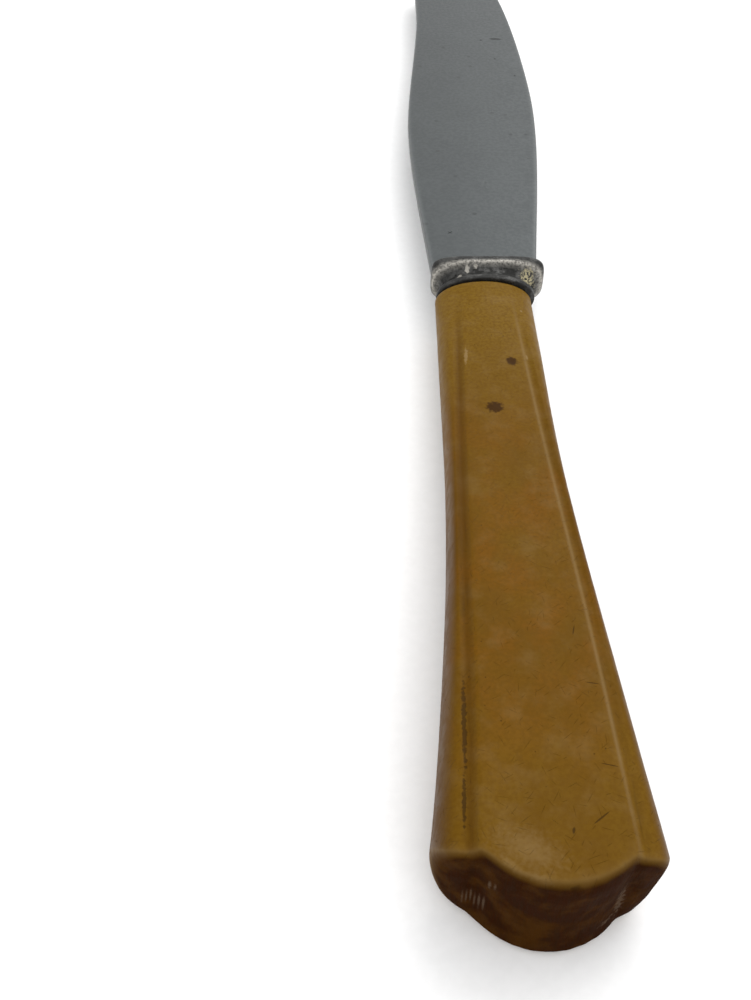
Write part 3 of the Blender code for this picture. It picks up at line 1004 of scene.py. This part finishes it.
def mark_resin(coat, look):
    """Stains, dark lines, chips and the end's rim, lightened partly by wear and partly as a
    painted highlight. Returns the dark lines.
    """
    stains = coat.marks((
        ((2.3, 71.7, 3.6), (0.8, 1.0, 3.0), 0.0, 0.2),
        ((-0.6, 62.3, 4.2), (1.2, 1.2, 3.0), 12.0, 0.3),
    ))
    coat.glaze(stains, 0.85, look.stain)
    dark_lines = coat.marks((
        ((-7.1, 15.5, 6.3), (0.24, 5.0, 2.0), -2.0, 0.5),
        ((-7.5, 8.0, 6.3), (0.2, 2.6, 2.0), -3.0, 0.5),
        ((5.0, 19.7, 7.0), (0.75, 0.06, 2.0), -8.0, 0.1),
        ((3.9, 6.1, 7.0), (1.1, 0.08, 2.0), 38.0, 0.1),
        ((5.3, 11.1, 7.0), (0.9, 0.06, 2.0), -12.0, 0.1),
        ((4.1, 26.0, 7.0), (0.07, 0.7, 2.0), -14.0, 0.1),
        ((1.4, 4.9, 7.0), (0.14, 0.36, 2.0), -15.0, 0.2),
        ((1.1, 0.3, 6.3), (0.62, 0.6, 0.42), 0.0, 0.2),
    ))
    coat.glaze(dark_lines, 0.6, look.grime)
    chips = coat.marks((
        ((-3.6, 72.9, 4.0), (0.28, 1.9, 2.0), -4.0, 0.4),
        ((4.7, 83.7, 3.0), (0.2, 0.25, 2.0), 0.0, 0.2),
        ((4.4, 73.0, 3.0), (0.18, 0.55, 2.0), 8.0, 0.3),
    ))
    coat.glaze(chips, 0.7, look.worn)
    # The end's rim made paler: partly wear, partly a painted highlight on the rounded edge.
    worn_and_highlit_rim = coat.marks((
        ((-4.1, 2.1, 6.8), (1.6, 0.5, 0.9), -42.0, 0.35),
        ((-2.0, 0.9, 6.8), (1.9, 0.42, 0.9), -18.0, 0.4),
        ((-2.6, 3.4, 7.0), (4.2, 2.2, 1.0), -25.0, 0.3),
    ), 1.1)
    coat.glaze(worn_and_highlit_rim, 0.34, look.worn)
    return dark_lines


def shaded_brown_end(coat, look, streaks):
    """The colour of the brown, scraped end wall, darkened partly with painted shade."""
    # Painted shade: the end wall is darker than the resin's own brown because it faces away from
    # the light; grime streaks run over it.
    grimy_shaded_wall = coat.mix(coat.times(streaks, 0.4), look.butt_brown, look.grime)
    patches = coat.effect("clouds", size=3.2, low=0.42, high=0.7)
    grimy_shaded_wall = coat.mix(coat.times(patches, 0.5), grimy_shaded_wall, look.resin_red)
    comb = tuple(
        ((-7.4 + 0.36 * i, 2.6, -2.8 + 0.3 * (i % 3)), (0.14, 2.5, 1.5), 0.0, 0.2)
        for i in range(6))
    scrapes = coat.marks((
        *comb,
        ((-5.4, 2.6, 2.2), (0.16, 2.5, 0.9), 0.0, 0.3),
        ((-5.0, 2.6, 2.6), (0.14, 2.5, 0.8), 0.0, 0.3),
        ((6.3, 2.6, -1.6), (0.5, 2.5, 2.8), 0.0, 0.7),
        ((5.3, 2.6, -4.0), (0.8, 2.5, 0.5), 0.0, 0.6),
    ), 0.9)
    return coat.mix(coat.times(scrapes, 0.5), grimy_shaded_wall, look.scraped)


def resin_material(look):
    """Old mustard cast resin: clouded, scratched, grimy in its flutes, brown at the end. Painted
    shade darkens the left-hand flute and the end wall; a painted highlight lightens the
    right-hand ledge and the butt's rim.
    """
    coat = Coat("cast_resin", look.resin)
    x, y, _ = coat.add("ShaderNodeSeparateXYZ", {0: coat.where}).outputs
    wall = coat.attribute("wall")
    grain = coat.effect("clouds", size=0.4, detail=6.0)
    cloud_resin(coat, look, y, grain)
    soil_and_shade_sides(coat, look, x, y)
    dark_lines = mark_resin(coat, look)

    scratched = coat.maths(
        "MAXIMUM",
        coat.effect("hairlines", angle=-0.75, length=1.8, spacing=0.7, width=0.032),
        coat.effect("hairlines", angle=0.9, length=1.5, spacing=0.8, width=0.028, spread=1.6))
    coat.glaze(scratched, 0.32, look.grime)
    specks = coat.effect("specks", spacing=1.3, radius=0.09, share=0.25)
    coat.glaze(specks, 0.45, look.grime)
    # The butt's edge made paler: partly wear, partly a painted highlight on the rounded edge.
    coat.glaze(coat.attribute("butt_edge"), 0.25, look.worn)
    streaks = coat.effect("clouds", size=0.45, stretch=(0.5, 1.0, 6.0), detail=3.0)
    # The end wall takes its brown colour, which is partly painted shade.
    coat.tint = coat.mix(wall, coat.tint, shaded_brown_end(coat, look, streaks))

    rubbed = coat.effect("clouds", size=2.2, detail=6.0)
    roughness = coat.ramp(rubbed, 0.0, 1.0, 0.34, 0.46)
    roughness = coat.maths("ADD", roughness, coat.times(wall, 0.5))
    roughness = coat.maths("ADD", roughness, coat.times(scratched, 0.15), True)
    coat.shader.inputs["Specular IOR Level"].default_value = 0.025
    cuts = coat.maths("MAXIMUM", scratched, dark_lines)
    relief = coat.maths("SUBTRACT", coat.times(grain, 0.12), coat.times(cuts, 0.8))
    relief = coat.maths("SUBTRACT", relief, coat.times(specks, 0.8))
    relief = coat.maths("ADD", relief, coat.times(streaks, wall, 0.8))
    return coat.finish(roughness, relief, 0.55, 0.05)


def steel_material(look):
    """Greyed satin steel with hair scratches, a few dark specks and rims painted lighter as a
    highlight.
    """
    coat = Coat("blade_steel", look.steel)
    dark = toned(look.steel, 0.97)
    clouds = coat.effect("clouds", size=9.0, detail=3.0)
    coat.tint = coat.mix(clouds, dark, toned(look.steel, 1.04))
    film = coat.effect("clouds", size=0.6, detail=5.0)
    coat.glaze(film, 0.12, dark)
    scratches = coat.effect("hairlines", angle=-1.4, length=7.0, width=0.025)
    coat.glaze(scratches, 0.2, look.steel_bright)
    coat.glaze(coat.effect("specks", spacing=2.6, radius=0.2, share=0.25), 0.4, look.oxide)
    marks = coat.marks((
        ((8.7, 181.3, 0.5), (1.5, 0.45, 2.0), 3.0, 0.2),
        ((5.6, 180.5, 0.5), (0.3, 0.3, 2.0), 0.0, 0.3),
        ((7.8, 171.6, 0.5), (0.25, 0.25, 2.0), 0.0, 0.3),
        ((11.1, 164.3, 0.5), (0.25, 0.3, 2.0), 0.0, 0.3),
        ((-4.0, 107.1, 0.5), (0.6, 0.12, 2.0), 45.0, 0.1),
        ((-4.0, 107.1, 0.5), (0.5, 0.12, 2.0), -40.0, 0.1),
    ))
    coat.glaze(marks, 0.6, look.oxide)
    # Painted highlight: the blade's rims made lighter along the rounded edges.
    coat.glaze(coat.attribute("rim"), 0.35, look.steel_bright)
    coat.shader.inputs["Metallic"].default_value = 0.85
    rough = coat.maths("ADD", coat.ramp(film, 0.0, 1.0, 0.42, 0.5), coat.times(marks, 0.2))
    relief = coat.maths("SUBTRACT", coat.times(film, 0.3), scratches)
    return coat.finish(rough, relief, 0.25, 0.02)


def white_metal_material(look):
    """Dull cast white metal: rubbed bright on its ridge, dark and pitted in its cove."""
    coat = Coat("collar_metal", look.white_metal)
    coarse = coat.effect("clouds", size=1.5, detail=6.0, low=0.4, high=0.64)
    fine = coat.effect("clouds", size=0.35, low=0.4, high=0.66)
    coat.tint = coat.mix(coarse, toned(look.white_metal, 0.5), look.white_metal)
    coat.glaze(fine, 0.35, look.oxide)
    pockets = coat.times(coat.attribute("cove"), coat.ramp(coarse, 0.75, 0.1))
    coat.glaze(pockets, 0.9, look.oxide)
    coat.glaze(coat.attribute("ridge"), coat.ramp(fine, 0.0, 1.0, 1.0, 0.35), look.ridge)
    pits = coat.effect("specks", spacing=0.55, radius=0.22, share=0.4)
    coat.glaze(pits, 0.6, look.oxide)
    pale = coat.marks((
        ((-2.2, 93.7, 3.0), (0.35, 0.7, 1.5), 0.0, 0.5),
        ((-1.0, 94.1, 3.0), (0.3, 0.4, 1.5), 0.0, 0.5),
        ((-3.4, 92.4, 2.5), (0.35, 0.7, 1.5), -20.0, 0.5),
    ))
    coat.glaze(pale, 0.7, look.bare_metal)
    crust = coat.marks((
        ((6.6, 93.4, 1.5), (1.2, 1.5, 2.2), 0.0, 0.55),
        ((7.7, 92.6, 0.2), (0.9, 1.4, 1.6), 0.0, 0.6),
    ))
    crust = coat.times(crust, coat.ramp(fine, 0.75, 0.25))
    coat.tint = coat.mix(crust, coat.tint, look.deposit)
    coat.feed(coat.shader.inputs["Metallic"], coat.maths("SUBTRACT", 0.85, crust, True))
    rough = coat.ramp(coarse, 0.0, 1.0, 0.6, 0.42)
    rough = coat.maths("ADD", rough, coat.times(crust, 0.4), True)
    relief = coat.maths("SUBTRACT", coarse, coat.times(fine, 0.6))
    relief = coat.maths("SUBTRACT", relief, pits)
    relief = coat.maths("ADD", relief, coat.times(crust, 1.5))
    return coat.finish(rough, relief, 0.6, 0.08)


def cement_material(look):
    """Dry brown cement, crumbly and matt."""
    coat = Coat("tang_cement", look.cement)
    clouds = coat.effect("clouds", size=1.2, detail=6.0)
    coat.tint = coat.mix(clouds, look.cement, toned(look.cement, 0.5))
    holes = coat.effect("specks", spacing=0.8, radius=0.2)
    return coat.finish(0.85, coat.maths("SUBTRACT", clouds, holes), 0.6, 0.1)


def paper_material():
    """The pale, even surface that the knife lies on."""
    coat = Coat("stage_paper", PAPER)
    fibre = coat.effect("clouds", size=1.1, detail=2.0)
    coat.feed(coat.shader.inputs["Base Color"], coat.mix(fibre, PAPER, PAPER_FIBRE))
    coat.shader.inputs["Roughness"].default_value = 0.9
    coat.shader.inputs["Specular IOR Level"].default_value = 0.1
    return coat.material


# ---------------------------------------------------------------- operators


class INKKNIFE_OT_handle(Operator):
    """Carve the fluted resin handle from a tube and give it its bore"""

    bl_idname = "ink_knife.handle"
    bl_label = "Handle"

    def execute(self, context):
        sizes = context.scene.ink_knife_handle
        handle = handle_blank(sizes)
        carve_handle(handle, sizes)
        close_butt(handle, sizes)
        bore_handle(handle, sizes)
        smooth_over(handle, 1)
        age_handle(handle, sizes)
        hand_over(handle, "handle", resin_material(context.scene.ink_knife_finish))
        return {"FINISHED"}


class INKKNIFE_OT_collar(Operator):
    """Draw out the cast collar, slot it for the tang and pit its surface"""

    bl_idname = "ink_knife.collar"
    bl_label = "Collar"

    def execute(self, context):
        sizes = context.scene.ink_knife_collar
        stations = collar_profile()
        collar = collar_blank(stations)
        shape_collar(collar, sizes, stations)
        slot_collar(collar, sizes)
        smooth_over(collar, 2)
        pit_collar(collar, sizes)
        metal = white_metal_material(context.scene.ink_knife_finish)
        hand_over(collar, "bolster", metal)
        return {"FINISHED"}


class INKKNIFE_OT_blade(Operator):
    """Forge and grind the blade and join its tang to it"""

    bl_idname = "ink_knife.blade"
    bl_label = "Blade"

    def execute(self, context):
        sizes = context.scene.ink_knife_blade
        blade = blade_blank()
        forge_blade(blade, sizes)
        weld_tang(blade, sizes)
        bpy.ops.object.shade_smooth_by_angle(angle=math.radians(40.0))
        steel = steel_material(context.scene.ink_knife_finish)
        hand_over(blade, "blade", steel)
        return {"FINISHED"}


class INKKNIFE_OT_cement(Operator):
    """Give the cement in the handle's bore its finish"""

    bl_idname = "ink_knife.cement"
    bl_label = "Cement"

    def execute(self, context):
        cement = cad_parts["tang_cement"]
        material = cement_material(context.scene.ink_knife_finish)
        for socket in cement.material_slots:
            socket.material = material
        return {"FINISHED"}


class INKKNIFE_OT_stage(Operator):
    """Lay the floor, hang the lights and set up the camera"""

    bl_idname = "ink_knife.stage"
    bl_label = "Stage"

    def execute(self, context):
        lay_floor()
        hang_lights(context.scene)
        set_camera(context.scene)
        return {"FINISHED"}


PAPER = (0.93, 0.93, 0.93)
PAPER_FIBRE = (0.95, 0.95, 0.95)
FLOOR_RADIUS = 4.0
SURROUND_STRENGTH = 1.15
LAMP_PLACE = Vector((0.45, 0.7, 1.1))
LAMP_SIDE = 1.1
LAMP_WATTS = 11.0
CAMERA_FROM_BUTT = Vector((-0.0149, -0.0363, 0.0887))
CAMERA_TILT = (math.radians(44.2), 0.0, math.radians(0.26))
CAMERA_LENS = 37.8
CAMERA_SENSOR = 36.0


def lay_floor():
    """A round floor, larger than any view reaches."""
    deselect()
    bpy.ops.mesh.primitive_circle_add(vertices=96, radius=FLOOR_RADIUS, fill_type="NGON")
    floor = start_piece("stage_floor")
    floor.data.materials.append(paper_material())


def hang_lights(scene):
    """One large soft light high on the edge's side, and an even white surround."""
    scene.view_settings.view_transform = "Standard"
    world = bpy.data.worlds.new("soft_surround")
    world.use_nodes = True
    background = world.node_tree.nodes["Background"]
    background.inputs["Color"].default_value = (1.0, 1.0, 1.0, 1.0)
    background.inputs["Strength"].default_value = SURROUND_STRENGTH
    scene.world = world
    lamp = bpy.data.lights.new("softbox", "AREA")
    lamp.shape = "RECTANGLE"
    lamp.size = LAMP_SIDE
    lamp.size_y = LAMP_SIDE
    lamp.energy = LAMP_WATTS
    holder = bpy.data.objects.new("softbox", lamp)
    scene.collection.objects.link(holder)
    holder.location = LAMP_PLACE
    holder.rotation_euler = LAMP_PLACE.to_track_quat("Z", "Y").to_euler()


def set_camera(scene):
    """Look down along the knife from behind its butt, close up."""
    camera = bpy.data.cameras.new("camera")
    camera.lens = CAMERA_LENS
    camera.sensor_width = CAMERA_SENSOR
    camera.clip_start = 0.005
    camera.clip_end = 20.0
    holder = bpy.data.objects.new("camera", camera)
    scene.collection.objects.link(holder)
    holder.location = ORIGIN + CAMERA_FROM_BUTT
    holder.rotation_euler = CAMERA_TILT
    scene.camera = holder


class INKKNIFE_PT_panel(Panel):
    """The knife's pieces and sizes"""

    bl_idname = "INKKNIFE_PT_panel"
    bl_label = "Ink Knife"
    bl_space_type = "VIEW_3D"
    bl_region_type = "UI"
    bl_category = "Ink Knife"

    def draw(self, context):
        layout = self.layout
        for operator in OPERATORS:
            layout.operator(operator.bl_idname)
        for name in GROUPS:
            box = layout.box()
            group = getattr(context.scene, name)
            for key in group.__annotations__:
                box.prop(group, key)


OPERATORS = (
    INKKNIFE_OT_handle, INKKNIFE_OT_collar, INKKNIFE_OT_blade, INKKNIFE_OT_cement,
    INKKNIFE_OT_stage,
)
GROUPS = {
    "ink_knife_handle": HandleSizes, "ink_knife_collar": CollarSizes,
    "ink_knife_blade": BladeSizes, "ink_knife_finish": Finish,
}


def register():
    for kind in (*GROUPS.values(), *OPERATORS, INKKNIFE_PT_panel):
        bpy.utils.register_class(kind)
    for name, kind in GROUPS.items():
        setattr(bpy.types.Scene, name, PointerProperty(type=kind))


def unregister():
    for name in GROUPS:
        delattr(bpy.types.Scene, name)
    for kind in (INKKNIFE_PT_panel, *reversed(OPERATORS), *reversed(GROUPS.values())):
        bpy.utils.unregister_class(kind)


def main():
    register()
    build_groups()
    bpy.ops.ink_knife.stage()
    bpy.ops.ink_knife.handle()
    bpy.ops.ink_knife.collar()
    bpy.ops.ink_knife.blade()
    bpy.ops.ink_knife.cement()


if __name__ == "__main__":
    main()
